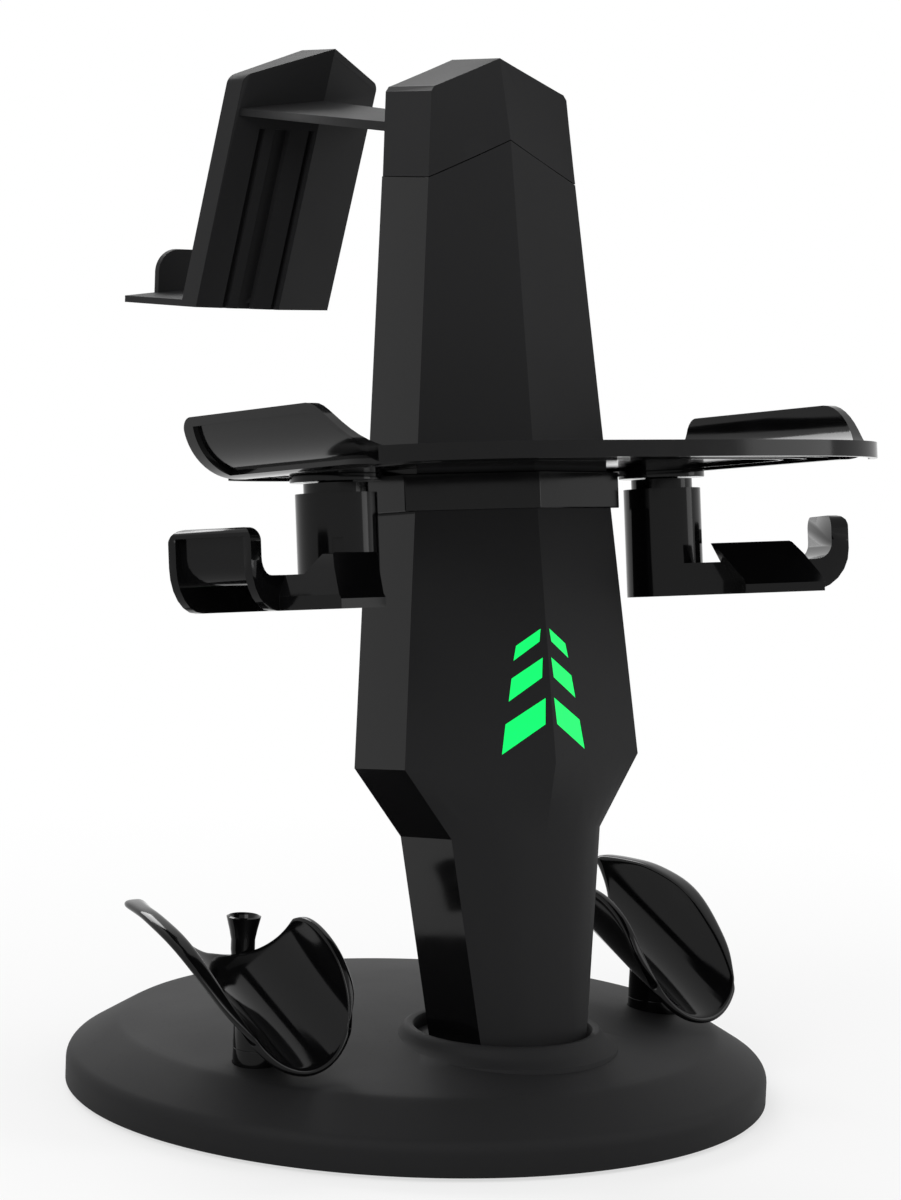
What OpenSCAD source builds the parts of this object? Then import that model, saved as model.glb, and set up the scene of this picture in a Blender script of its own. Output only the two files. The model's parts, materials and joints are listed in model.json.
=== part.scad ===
// Charging and display stand for a virtual reality headset and its two
// hand controllers. A round base carries a column that leans back, with a
// shelf for the headset, two hanging holders, two cradles and a rear hanger
// for the head strap. Origin: centre of the base's underside, front is -Y.

/* [Base] */
// Radius of the base where it meets its bottom edge
base_r = 110; // [104:1:120]
// Height of the upright rim of the base
rim_h = 12.6; // [11:0.2:15]
// Radius of the flat top disc of the base
top_r = 94; // [88:1:97]
// Height of the edge of the top disc
top_z = 20; // [18:0.5:22]
// Rise of the top disc from its edge to its middle
dome_rise = 7; // [3:0.5:9]
// Wall of the base cover
base_wall = 2.6; // [2:0.2:3.4]
// Thickness of the bottom plate
plate_t = 2.2; // [2:0.2:3]
// How far the rubber feet stand below the plate
foot_stand = 1; // [0.6:0.1:1.6]
// Radius of a rubber foot
rubber_r = 8; // [6:0.5:10]
// Distance of the weight in from the edge of the base
weight_in = 48; // [44:1:60]
// Thickness of the steel weight
weight_t = 6; // [4:0.5:7]

/* [Collar] */
// Outer radius of the raised ring round the column foot
collar_r = 30; // [31:0.5:36]
// Inner radius of that ring
collar_bore = 27; // [27:0.25:29]
// Height of the top of the ring
collar_z = 28.8; // [28:0.2:30]

/* [Column] */
// How far the column leans back, in degrees
lean = 7.5; // [4:0.5:9]
// Place of the column's foot behind the centre, negative is forward
foot_y = -47; // [-50:1:-42]
// Depth of the column from its front edges to its back
col_d = 26.4; // [24:0.4:30]
// Half width of the column at its foot
foot_hw = 20; // [18:0.5:20.5]
// Half width at the top of the neck
neck_hw = 27.9; // [25:0.5:31]
// Height of the top of the neck along the column
neck_s = 62; // [54:1:68]
// Half width at the waist, the widest level
waist_hw = 43.8; // [41:0.2:46]
// Height of the waist along the column
waist_s = 83.5; // [78:0.5:84]
// How far the ridge stands out in front at the waist
ridge_v = 15.6; // [12:0.2:18]
// Narrowing of each side for each millimetre above the waist
side_taper = 0.0935; // [0.085:0.0005:0.1]
// Height of the seam under the cap, at the sides
seam_s = 257.8; // [250:0.2:262]
// Wall of the column's covers
col_wall = 2.4; // [2:0.1:3]

/* [Headset shelf] */
// Half width of the shelf
shelf_a = 97; // [94:1:102]
// Half length of the shelf
shelf_b = 68; // [64:1:72]
// Middle of the shelf behind the column axis, negative is forward
shelf_y = -30; // [-34:1:-28]
// Height of the shelf's lower edge along the column
shelf_s = 170.5; // [168:0.5:174]
// Height of the shelf's edge band
shelf_h = 4.7; // [4:0.1:6]
// Thickness of the shelf's plate
shelf_t = 2.2; // [1.8:0.1:2.6]
// Radius of the curled ends of the shelf
curl_r = 18; // [16:0.5:20]
// Height of the band round the column under the shelf
band_h = 11; // [8:0.5:12]

/* [Holders] */
// Distance of each holder's hub from the middle
hub_x = 61.2; // [58:0.2:64]
// Place of the hubs behind the column axis
hub_y = -8.3; // [-12:0.1:-4]
// Radius of the hub
hub_r = 12; // [11:0.25:13]
// How far each holder is turned, its outer end forward, in degrees
holder_turn = 26; // [18:1:30]
// Reach of the hook from the hub's centre
hook_reach = 58; // [54:0.5:60]
// Height of the holder's underside along the column
holder_s = 131.5; // [128:0.5:134]
// Height of the hook above the holder's underside
hook_h = 23.5; // [22:0.5:26]

/* [Cradles] */
// Distance of the cradles in from the edge of the base
cradle_in = 35; // [30:1:40]
// Place of the cradle's post, negative is forward
post_y = -24.5; // [-26:0.5:-22]
// Radius of the post
post_r = 8; // [7:0.25:9]
// Half width of the trough
trough_r = 19; // [18:0.25:20]
// Wall of the trough
trough_wall = 2.4; // [2:0.1:2.8]

/* [Strap hanger] */
// Half width of the hanger
hanger_hw = 26; // [24:0.5:27]
// Distance of the hanging panel behind the centre, at its foot
panel_y = 105; // [100:1:110]
// How far the bridge lies below the shoulders of the cap
bridge_drop = 7.5; // [5:0.5:12]
// Height of the edges of the panel's roof above the bridge
panel_rise = 12.4; // [9:0.2:20]
// Length of the hanging panel
panel_h = 79; // [77:0.5:80]
// Slant of the hanging panel, in degrees
panel_slant = 18.4; // [17:0.2:19]
// Depth of the ledge behind the panel
ledge_d = 46; // [36:1:50]
// Height of the tab at the end of the ledge
tab_h = 14; // [10:0.5:18]

/* [Fits] */
// Clearance between pieces that lie in each other
gap = 0.3; // [0.2:0.05:0.4]

/* [Hidden] */
$fn = 96;
eps = 0.01;

satin = [0.11, 0.11, 0.12];
glossy = [0.03, 0.03, 0.035];
steel = [0.55, 0.56, 0.58];
board = [0.05, 0.28, 0.14];
green = [0.0, 1.0, 0.4];

plate_z = foot_stand;
inner_z = plate_z + plate_t;
foot_z = 26;
seat_z = collar_z - 4.3;
front_y = -col_d / 2;
back_y = col_d / 2;
neck_v = 9.5;
foot_v = 5.8;
seam_v = 4.6;
roof_v = 0.7;
seam_rise = 11.7;
roof_rise = 10;
roof_s = seam_s + 27;
cap_back = 10.4;
shelf_top = shelf_s + shelf_h;
band_s = shelf_s - band_h - gap;
shelf_n = 3.5;
head_r = 3.2;
back_draw = 2.2;
shoulder_r = 5;
cradle_x = base_r - cradle_in;
weight_r = base_r - weight_in;
collar_y = foot_y + 3;
collar_floor = 3.2;
post_seat_z = dome_z(norm([cradle_x, post_y])) - 2.2;
post_floor = 2.8;
post_top = 26;
spigot_r = 4;
column_screw_l = 12;
rim_lip = 1.6;
stub_in = 10.5;
stub_r = 3.7;
stub_h = 10;
base_screw_r = base_r - 20;
foot_ring_r = base_r - 36;
weight_y = -10;
foot_recess = 1.1;
foot_screw_places = [for (x = [-10, 10]) for (y = [-7, 7]) [x, y]];
board_w = 40;
board_y0 = 62;
board_y1 = base_r - base_wall - 5;
board_z = inner_z + 1.8;
board_posts = [for (x = [-14, 14]) for (y = [68, 96]) [x, y]];
inlet_w = 8.9;
inlet_h = 3.2;
inlet_l = 12;
inlet_y1 = base_r - 1;
inlet_z = board_z + 1.6 + inlet_h / 2;
cover_screws = [neck_s - 16, waist_s + 60, seam_s - 30];
foot_block_x = 9;
foot_block_s = 10;
cap_screw_x = 12;
cap_screw_s = seam_s - 8;
cap_plug_x = 19;
window_s = [123.4, 114.8, 102.8];
window_h = [4, 6.1, 8];
window_reach = [9.8, 11.9, 14.7];
window_in = 1.5;
window_foot_s = waist_s + 1;
lamp_hw = 19;
led_mid_s = (window_foot_s + window_s[0]) / 2;
led_board_y = front_y + 1.5;
led_board_t = 1.6;
led_board_l = window_s[0] + 2 - window_foot_s;
led_boss_x = 24;
curl_x = shelf_a - curl_r;
curl_y0 = shelf_y - 46;
curl_y1 = shelf_y + 47;
curl_bend_y = curl_y0 + 28;
curl_t = 3;
arm_h = 10;
hook_t = 5.5;
hook_bend = 13;
hook_y0 = -6;
hook_y1 = 21;
lip_x0 = 11;
lip_x1 = 36;
lip_h = 15.8;
lip_skew = 8;
lip_y = -19;
hub_top = holder_s + 33.5;
stem_r = 5;
cradle_y0 = -52;
cradle_y1 = 4;
cradle_z = 24.4;
cradle_slope = 0.44;
inner_rim = [23, 19];
outer_rim = [[0, 8], [0.15, 12], [0.35, 16], [0.6, 16], [0.85, 10], [1, 5.5]];
bridge_y0 = -6;
bridge_t = 2.3;
bridge_z = foot_z + roof_s * cos(lean) - front_y * sin(lean) - bridge_drop;
roof_edge_z = bridge_z + panel_rise;
panel_z = roof_edge_z - panel_h * cos(panel_slant);
bridge_rise = 4.6;
panel_v = 9.5;
panel_d = 9;
skin_t = 3;
flange_t = 2;
roof_t = 2.2;
channels = [[-17.8, 1.9], [-13.1, 4.9], [-2.6, 1.6]];
channel_d = 1.6;
border_w = 3;
panel_top_y = panel_y - (bridge_z - panel_z) * tan(panel_slant);
roof_slope = 0.38;
ledge_t = 2.2;
ledge_rise = 3;
tab_t = 2.6;
tab_hw = 14.5;
screw_r = 1.6;
round_steps = [-1, -0.96, -0.9, -0.8, -0.6, -0.4, -0.2, 0, 0.2, 0.4, 0.6, 0.8, 0.9, 0.96, 1];

function mix(a, b, t) = a + (b - a) * t;
function dome_z(r) = top_z + dome_rise * (1 - pow(r / top_r, 2));

// The column is drawn upright in its own frame, where s runs along it,
// and then leans back about its foot.
module leaning() {
    translate([0, foot_y, foot_z]) rotate([-lean, 0, 0]) children();
}

// Half width of the column at height s
function half_w(s) =
    s < neck_s ? mix(foot_hw, neck_hw, s / neck_s)
    : s < waist_s ? mix(neck_hw, waist_hw, (s - neck_s) / (waist_s - neck_s))
    : waist_hw - side_taper * (s - waist_s);

// How far the middle of the front stands out at height s
function ridge(s) =
    s < neck_s ? mix(foot_v, neck_v, s / neck_s)
    : s < waist_s ? mix(neck_v, ridge_v, (s - neck_s) / (waist_s - neck_s))
    : mix(ridge_v, seam_v, (s - waist_s) / (seam_s + seam_rise - waist_s));

// 1 where the front is rounded, as on the neck, and 0 where it is a ridge
function roundness(s) = s < neck_s ? 1 : s < waist_s ? (waist_s - s) / (waist_s - neck_s) : 0;
function bulge(t, k) = mix(1 - abs(t), 1 - pow(abs(t), 3), k);

// How far a row climbs towards the middle, as the seam under the cap does
function row_rise(s) = s < waist_s ? 0 : seam_rise * (s - waist_s) / (seam_s - waist_s);

// One point of the front face, moved inwards by inset
function front_point(t, row, inset) =
    let (s = row + row_rise(row) * (1 - abs(t)), b = half_w(s) - inset)
    [t * b, front_y - max(ridge(s) - inset * 1.05, 0.05) * bulge(t, roundness(s)), s];

front_rows = [-10, 0, neck_s * 0.5, neck_s, mix(neck_s, waist_s, 0.5), waist_s,
    mix(waist_s, seam_s, 0.2), mix(waist_s, seam_s, 0.4), mix(waist_s, seam_s, 0.6),
    mix(waist_s, seam_s, 0.8), seam_s];

function front_grid(inset) = [for (row = front_rows) [for (t = round_steps) front_point(t, row, inset)]];

// A closed solid between two grids of points with the same rows and columns.
// Seen from the near grid's side its rows go up and its columns to the right.
module between(far, near) {
    n = len(far);
    m = len(far[0]);
    pts = concat([for (row = far) for (p = row) p], [for (row = near) for (p = row) p]);
    function a(i, j) = i * m + j;
    function b(i, j) = n * m + i * m + j;
    polyhedron(pts, concat(
        [for (i = [0:n - 2]) for (j = [0:m - 2]) each
            [[a(i, j), a(i, j + 1), a(i + 1, j)], [a(i, j + 1), a(i + 1, j + 1), a(i + 1, j)]]],
        [for (i = [0:n - 2]) for (j = [0:m - 2]) each
            [[b(i, j), b(i + 1, j), b(i, j + 1)], [b(i, j + 1), b(i + 1, j), b(i + 1, j + 1)]]],
        [for (j = [0:m - 2]) each
            [[a(0, j), b(0, j), a(0, j + 1)], [a(0, j + 1), b(0, j), b(0, j + 1)],
             [a(n - 1, j), a(n - 1, j + 1), b(n - 1, j)],
             [a(n - 1, j + 1), b(n - 1, j + 1), b(n - 1, j)]]],
        [for (i = [0:n - 2]) each
            [[a(i, 0), a(i + 1, 0), b(i, 0)], [a(i + 1, 0), b(i + 1, 0), b(i, 0)],
             [a(i, m - 1), b(i, m - 1), a(i + 1, m - 1)],
             [a(i + 1, m - 1), b(i, m - 1), b(i + 1, m - 1)]]]));
}

// Height above the floor of the seam at the sides, and its climb to the middle
seam_z = foot_z + seam_s * cos(lean) - front_y * sin(lean);
seam_climb = seam_rise * cos(lean) + seam_v * sin(lean);
function back_at(s) = s < waist_s ? back_y : back_y - back_draw * (s - waist_s) / (roof_s - waist_s);

// A block with the given outline seen from the front, between two depths
module front_prism(y0, y1) translate([0, y1, 0]) rotate([90, 0, 0]) linear_extrude(y1 - y0) children();
// A block with the given outline seen from the right, w wide
module side_prism(w) translate([-w / 2, 0, 0]) rotate([90, 0, 90]) linear_extrude(w) children();
module both_sides() { children(); mirror([1, 0, 0]) children(); }

// Everything above the gabled seam, or below the seat in the collar
module above_seam() front_prism(-200, 200)
    polygon([[-100, seam_z - seam_climb * (100 / half_w(seam_s) - 1)], [0, seam_z + seam_climb],
        [100, seam_z - seam_climb * (100 / half_w(seam_s) - 1)], [100, 500], [-100, 500]]);
module below_seat() translate([-100, -200, -50]) cube([200, 300, 50 + seat_z]);

// The base

// Half section of the cover from its foot up over the rounded shoulder, drop inside its face
module dome_profile(drop, r0) polygon(concat([[0, r0], [base_r - drop, r0]],
    [for (a = [0:10:60]) [base_r - shoulder_r + (shoulder_r - drop) * cos(a),
        rim_h - shoulder_r + (shoulder_r - drop) * sin(a)]],
    [for (k = [0:8]) let (r = (top_r - drop * 0.4) * (1 - k / 8)) [r, dome_z(r) - drop]]));

module base_cover() color(satin) difference() {
    union() {
        rotate_extrude($fn = 180) dome_profile(0, plate_z);
        translate([0, collar_y, 0]) rotate_extrude() collar_profile();
    }
    difference() {
        rotate_extrude($fn = 180) dome_profile(base_wall, -1);
        translate([0, collar_y, seat_z - collar_floor]) cylinder(r = collar_r, h = 20);
        both_sides() translate([cradle_x, post_y, post_seat_z - post_floor])
            cylinder(r = post_r + 3, h = 20);
        for (a = [0:3]) rotate(45 + 90 * a) translate([base_screw_r, 0, inner_z])
            cylinder(r = 4.5, h = 30, $fn = 32);
    }
    translate([0, collar_y, seat_z]) cylinder(r = collar_bore, h = 20);
    for (p = foot_screw_places) translate([p[0], foot_y + p[1], 0]) cylinder(r = screw_r + gap, h = 60, $fn = 24);
    both_sides() translate([cradle_x, post_y, 0]) {
        translate([0, 0, post_seat_z]) cylinder(r = post_r + gap / 2, h = 20);
        cylinder(r = screw_r + gap, h = 60, $fn = 24);
    }
    for (a = [0:3]) rotate(45 + 90 * a) translate([base_screw_r, 0, 0])
        cylinder(r = screw_r, h = inner_z + 10, $fn = 24);
    translate([0, base_r, inlet_z]) rotate([90, 0, 0]) slot(inlet_w + 2 * gap, inlet_h + 2 * gap, 40);
}

// Ring round the column's foot, with its soft outer foot
module collar_profile() polygon([[0, top_z - 2], [collar_r + 5, top_z - 2], [collar_r + 4, top_z + 3],
    [collar_r + 1.6, collar_z - 4.2], [collar_r + 0.5, collar_z - 2.2], [collar_r, collar_z - 0.8],
    [collar_r - 0.8, collar_z], [0, collar_z]]);

// A slot with round ends, centred, cut through along Z
module slot(w, h, depth) translate([0, 0, -depth / 2]) linear_extrude(depth) {
    both_sides() translate([(w - h) / 2, 0]) circle(d = h, $fn = 32);
    square([w - h, h], center = true);
}

module base_plate() color(satin) difference() {
    union() {
        translate([0, 0, plate_z]) cylinder(r = base_r - base_wall - gap, h = plate_t, $fn = 180);
        translate([0, weight_y, inner_z - eps]) difference() {
            cylinder(r = weight_r + gap + 2, h = 3);
            translate([0, 0, -1]) cylinder(r = weight_r + gap, h = 5);
        }
        for (p = board_posts) translate([p[0], p[1], inner_z - eps]) cylinder(r = 3, h = board_z - inner_z + eps, $fn = 32);
    }
    for (a = [0:3]) rotate(45 + 90 * a) {
        translate([base_screw_r, 0, 0]) cylinder(r = screw_r + gap, h = 10, $fn = 24);
        translate([base_screw_r, 0, 0]) cylinder(r = head_r + gap, h = plate_z + 1, $fn = 32);
        translate([foot_ring_r, 0, 0]) cylinder(r = rubber_r + gap / 2, h = plate_z + foot_recess, $fn = 48);
    }
    cylinder(r = rubber_r + gap / 2, h = plate_z + foot_recess, $fn = 48);
}

module ballast_weight() color(steel) translate([0, weight_y, inner_z]) difference() {
    cylinder(r = weight_r, h = weight_t, $fn = 120);
    for (a = [0:2]) rotate(90 + 120 * a) translate([weight_r * 0.6, 0, -1]) cylinder(r = 5, h = 20, $fn = 32);
}

module rubber_feet() color([0.15, 0.15, 0.15]) {
    foot_pad();
    for (a = [0:3]) rotate(45 + 90 * a) translate([foot_ring_r, 0, 0]) foot_pad();
}
module foot_pad() rotate_extrude($fn = 48) polygon([[0, 0], [rubber_r - 0.7, 0], [rubber_r, 0.7],
    [rubber_r, plate_z + foot_recess], [0, plate_z + foot_recess]]);

// A pan head screw with its head's underside at z = 0 and its shank upwards
module screw(length) {
    cylinder(r = screw_r - gap / 4, h = length, $fn = 24);
    translate([0, 0, -2]) difference() {
        cylinder(r = head_r, h = 2, $fn = 32);
        translate([0, 0, -1]) cylinder(r = 1.3, h = 2.2, $fn = 6);
    }
}

module base_screws() color(steel) for (a = [0:3]) rotate(45 + 90 * a)
    translate([base_screw_r, 0, plate_z + 1]) difference() {
        screw(plate_t + 7);
        translate([-5, -5, -2 - eps]) cube([10, 10, 1]);
    }

module charging_board() color(board) {
    translate([-board_w / 2, board_y0, board_z]) cube([board_w, board_y1 - board_y0, 1.6]);
    for (p = [[-9, 70, 6, 2], [8, 72, 8, 1.4], [-6, 84, 5, 3], [9, 86, 4, 2.6]])
        translate([p[0] - p[2] / 2, p[1] - p[2] / 2, board_z + 1.6 - eps]) cube([p[2], p[2], p[3]]);
}

module usb_inlet() color(steel) translate([0, inlet_y1, inlet_z]) rotate([90, 0, 0]) difference() {
    translate([0, 0, inlet_l / 2]) slot(inlet_w, inlet_h, inlet_l);
    difference() {
        translate([0, 0, inlet_l / 2 - 1.5]) slot(inlet_w - 0.8, inlet_h - 0.8, inlet_l - 1);
        translate([-inlet_w * 0.36, -0.35, 0.8]) cube([inlet_w * 0.72, 0.7, inlet_l]);
    }
}

// The column

module column_outline(inset) polygon([for (side = [1, -1]) for (k = side > 0 ? [0:4] : [4:-1:0])
    let (s = [-12, 0, neck_s, waist_s, roof_s][k]) [side * (half_w(s) - inset), s]]);
module column_side(inset, front) polygon([[front, -12], [back_y - inset, -12], [back_y - inset, waist_s],
    [back_at(roof_s) - inset, roof_s], [front, roof_s]]);
module column_block(inset, front) intersection() {
    front_prism(-60, 60) column_outline(inset);
    side_prism(120) column_side(inset, front);
}

module column_body() color(glossy) difference() {
    leaning() difference() {
        union() {
            difference() {
                column_block(0, front_y);
                column_block(col_wall, front_y - 1);
            }
            both_sides() translate([led_boss_x, led_board_y + led_board_t, led_mid_s]) rotate([-90, 0, 0])
                cylinder(r = 3.2, h = back_at(led_mid_s) - led_board_y - led_board_t - 1, $fn = 32);
        }
        for (s = cover_screws) translate([0, back_at(s), s]) rotate([90, 0, 0]) screw_way();
        for (x = [-foot_block_x, foot_block_x]) translate([x, back_at(foot_block_s), foot_block_s])
            rotate([90, 0, 0]) screw_way();
        for (x = [-cap_screw_x, cap_screw_x]) translate([x, back_at(cap_screw_s), cap_screw_s])
            rotate([90, 0, 0]) screw_way();
    }
    above_seam();
    below_seat();
}

// Hole and head recess for a screw that goes in along Z
module screw_way() {
    translate([0, 0, -1]) cylinder(r = head_r + gap, h = 1.8, $fn = 32);
    translate([0, 0, -1]) cylinder(r = screw_r + gap, h = 8, $fn = 24);
}

module column_front() color(satin) difference() {
    leaning() difference() {
        union() {
            between(front_grid(col_wall), front_grid(0));
            for (s = cover_screws) translate([0, front_y - ridge(s) + 1.8, s]) rotate([-90, 0, 0])
                cylinder(r = 4, h = back_at(s) - col_wall - gap - front_y + ridge(s) - 1.8, $fn = 32);
        }
        for (s = cover_screws) translate([0, back_at(s) + 1, s]) rotate([90, 0, 0])
            cylinder(r = screw_r, h = 16, $fn = 24);
        windows(0);
    }
    below_seat();
}

// The six windows: three pairs that grow towards the waist
module windows(inset) for (k = [0:2]) both_sides()
    front_prism(-60, front_y - 1) window_outline(window_s[k], window_h[k], window_reach[k], inset);
module window_outline(s, h, reach, inset) polygon([[window_in + inset, s - inset],
    [reach * 0.95 - inset, s - reach * 0.5], [reach * 1.06 - inset, s - reach * 0.5 - h * 1.12 + inset],
    [window_in + 0.6 + inset, s - h + inset]]);

module light_window() color(green) leaning() {
    intersection() {
        windows(gap / 3);
        between(front_grid(col_wall + gap + 0.8), front_grid(0.15));
    }
    intersection() {
        between(front_grid(col_wall + gap + 1.8), front_grid(col_wall + gap));
        translate([-lamp_hw, -60, window_foot_s]) cube([2 * lamp_hw, 80, window_s[0] + 3 - window_foot_s]);
    }
}

module led_board() color(board) leaning() {
    translate([-led_boss_x - 4, led_board_y, window_foot_s]) cube([2 * led_boss_x + 8, led_board_t, led_board_l]);
    for (k = [0:2]) both_sides() translate([window_reach[k] / 2 - 1, led_board_y - 1.2 + eps, window_s[k] - window_h[k] - 2])
        cube([3, 1.2, 3]);
}

module column_foot_plate() color(satin) difference() {
    leaning() difference() {
        translate([-foot_hw + col_wall + 1, front_y + 1, -10])
            cube([2 * (foot_hw - col_wall - 1), back_y - front_y - 1 - col_wall - gap, foot_block_s + 14]);
        for (x = [-foot_block_x, foot_block_x]) translate([x, back_y + 1, foot_block_s]) rotate([90, 0, 0])
            cylinder(r = screw_r, h = 14, $fn = 24);
    }
    below_seat();
    for (p = foot_screw_places) translate([p[0], foot_y + p[1], 0]) cylinder(r = screw_r, h = seat_z + 10, $fn = 24);
}

module foot_screws() color(steel) for (p = foot_screw_places)
    translate([p[0], foot_y + p[1], seat_z - collar_floor]) screw(collar_floor + 9);

module column_screws() color(steel) leaning() {
    for (s = cover_screws) translate([0, back_at(s) - 0.8, s]) rotate([90, 0, 0]) screw(column_screw_l);
    for (x = [-foot_block_x, foot_block_x]) translate([x, back_at(foot_block_s) - 0.8, foot_block_s])
        rotate([90, 0, 0]) screw(column_screw_l);
}

// The shelf for the headset

// Section of the column at height s, grown by side and front amounts
module column_plan(s, grow, front_grow) polygon([[half_w(s) + grow, back_at(s) + grow],
    [half_w(s) + grow, front_y], [0, front_y - ridge(s) - front_grow],
    [-half_w(s) - grow, front_y], [-half_w(s) - grow, back_at(s) + grow]]);

module shelf_band() color(glossy) leaning() translate([0, 0, band_s]) difference() {
    linear_extrude(band_h) column_plan(band_s, 3.4, 1.6);
    translate([0, 0, -1]) linear_extrude(band_h + 2) column_plan(band_s, gap, gap);
}

function power(x, n) = sign(x) * pow(abs(x), n);
module shelf_outline(inset) translate([0, shelf_y]) polygon([for (a = [2.5:5:359])
    [(shelf_a - inset) * power(cos(a), 2 / shelf_n), (shelf_b - inset) * power(sin(a), 2 / shelf_n)]]);
module shelf_ring(inset, t, z0, z1) translate([0, 0, z0]) linear_extrude(z1 - z0) difference() {
    shelf_outline(inset);
    shelf_outline(inset + t);
}

module headset_shelf() color(glossy) leaning() difference() {
    union() {
        difference() {
            union() {
                translate([0, 0, shelf_top - 1 - shelf_t]) linear_extrude(shelf_t) shelf_outline(0.5);
                shelf_ring(0, 2.2, shelf_s, shelf_top);
                for (k = [1:4]) shelf_ring(7 * k, 1.4, shelf_s + 0.6, shelf_top - 1);
            }
            both_sides() translate([curl_x, curl_y0 + 3, shelf_s - 1]) cube([60, curl_y1 - curl_y0 - 3 + eps, 30]);
        }
        both_sides() curl();
        both_sides() translate([hub_x, hub_y, shelf_s]) cylinder(r = hub_r + 1.4, h = shelf_h - 1);
    }
    translate([0, 0, shelf_s - 1]) linear_extrude(30) column_plan(shelf_s, gap, gap);
    both_sides() translate([hub_x, hub_y, 0]) cylinder(r = screw_r, h = shelf_top - 1.8, $fn = 24);
}

// Curled end of the shelf, open towards its outside within a rim
module curl() difference() {
    intersection() {
        front_prism(curl_y0, curl_y1) translate([curl_x, shelf_s + curl_r]) {
            difference() {
                intersection() {
                    circle(r = curl_r);
                    translate([0, -curl_r]) square(curl_r);
                }
                circle(r = curl_r - curl_t);
            }
            translate([-3, -curl_r]) square([3 + eps, curl_t]);
        }
        side_prism(400) polygon(concat([[curl_y1 + 1, shelf_s - 1], [curl_y1 + 1, shelf_s + curl_r - 3],
            [curl_y1 - 2, shelf_s + curl_r + eps], [curl_bend_y, shelf_s + curl_r + eps]],
            [for (k = [1:7]) [mix(curl_bend_y, curl_y0 + 2, k / 8),
                mix(shelf_s + curl_r, shelf_top, (1 - cos(180 * k / 8)) / 2)]],
            [[curl_y0, shelf_top], [curl_y0 - 1, shelf_s - 1]]));
    }
    intersection() {
        front_prism(curl_y0 + 26, curl_y1 - 3) translate([curl_x, shelf_s + curl_r]) difference() {
            circle(r = curl_r + 1);
            circle(r = curl_r - 1);
        }
        translate([curl_x + 3, -100, shelf_s + 0.8]) cube([50, 200, curl_r - 3.8]);
    }
}

// The holders for the hand controllers

module at_hub() leaning() translate([hub_x, hub_y, 0]) rotate(-holder_turn) children();

// Outline of the arm and hook seen from the front, d deep below its face
module hook_skin(d) polygon(concat([[0, holder_s + arm_h - d], [hook_reach - hook_t - 5, holder_s + arm_h - d]],
    [for (a = [0:15:90]) [hook_reach - hook_t - 5 + (5 + d) * sin(a), holder_s + arm_h + 5 - (5 + d) * cos(a)]],
    [[hook_reach - hook_t + d, holder_s + hook_h - d], [hook_reach + 9, holder_s + hook_h - d],
     [hook_reach + 9, holder_s - 9], [0, holder_s - 9]]));
module hook_outside() polygon(concat([[0, holder_s + 40], [0, holder_s]],
    [for (a = [0:15:90]) [hook_reach - hook_bend + hook_bend * sin(a), holder_s + hook_bend - hook_bend * cos(a)]],
    [for (a = [0:30:90]) [hook_reach - 3 + 3 * cos(a), holder_s + hook_h - 3 + 3 * sin(a)]],
    [[hook_reach - 12, holder_s + 40]]));

module holder() color(glossy) at_hub() difference() {
    union() {
        translate([0, 0, holder_s]) cylinder(r = hub_r, h = hub_top - holder_s);
        translate([0, 0, hub_top - eps]) cylinder(r = hub_r - 2.5, h = shelf_s - 2.2 - gap - hub_top);
        difference() {
            front_prism(hook_y0, hook_y1) intersection() { hook_outside(); hook_skin(0); }
            front_prism(hook_y0 + 2.4, hook_y1 - 2.4) intersection() {
                hook_skin(2.6);
                translate([hub_r + 2, 0]) square([100, 300]);
            }
        }
        side_wedge();
        translate([0, lip_y + 7, holder_s]) cube([lip_x0 + lip_skew + 2, hook_y0 - lip_y - 6, arm_h]);
    }
    translate([0, 0, holder_s + 6]) cylinder(r = stem_r + gap, h = 60, $fn = 48);
    translate([0, 0, holder_s - 1]) cylinder(r = head_r + gap, h = 5, $fn = 32);
    translate([0, 0, holder_s - 1]) cylinder(r = screw_r + gap, h = 20, $fn = 24);
    rotate(-30) translate([hub_r - 1.6, -1.6, holder_s + 16]) cube([4, 3.2, 4.4]);
}

// Front lip of a holder: its face slopes down and forward, and its ends slope outwards
module side_wedge() intersection() {
    translate([0, 0, 0]) rotate([90, 0, 90]) linear_extrude(lip_x1 + lip_skew + 1)
        polygon([[hook_y0 + 1, holder_s], [lip_y - 7, holder_s], [lip_y - 7, holder_s + 2.8],
            [lip_y, holder_s + lip_h], [lip_y + 3, holder_s + lip_h], [lip_y + 7, holder_s + arm_h],
            [hook_y0 + 1, holder_s + arm_h]]);
    front_prism(-60, 60) polygon([[lip_x0, holder_s + lip_h + 1], [lip_x0, holder_s + lip_h], [lip_x0 + lip_skew, holder_s + 4],
        [lip_x0 + lip_skew, holder_s - 1], [lip_x1 + lip_skew, holder_s - 1], [lip_x1 + lip_skew, holder_s + 4],
        [lip_x1 + 3, holder_s + lip_h - 4], [lip_x1, holder_s + lip_h - 0.4], [lip_x1 - 3, holder_s + lip_h + 1]]);
}

module pivot() color(glossy) at_hub() difference() {
    union() {
        translate([0, 0, shelf_s - 2.2]) cylinder(r = hub_r + 1.4, h = 2.2);
        translate([0, 0, holder_s + 6 + eps]) cylinder(r = stem_r, h = shelf_s - 2.2 - holder_s - 6, $fn = 48);
    }
    translate([0, 0, holder_s]) cylinder(r = screw_r, h = 80, $fn = 24);
}

module pivot_screws() color(steel) both_sides() at_hub() {
    translate([0, 0, holder_s + 4]) screw(14);
    translate([0, 0, shelf_s - 12]) cylinder(r = screw_r - gap / 4, h = shelf_top - 2 - shelf_s + 12, $fn = 24);
}

module right_holder() holder();
module left_holder() mirror([1, 0, 0]) holder();
module right_pivot() pivot();
module left_pivot() mirror([1, 0, 0]) pivot();

// The cradles on the base

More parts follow.
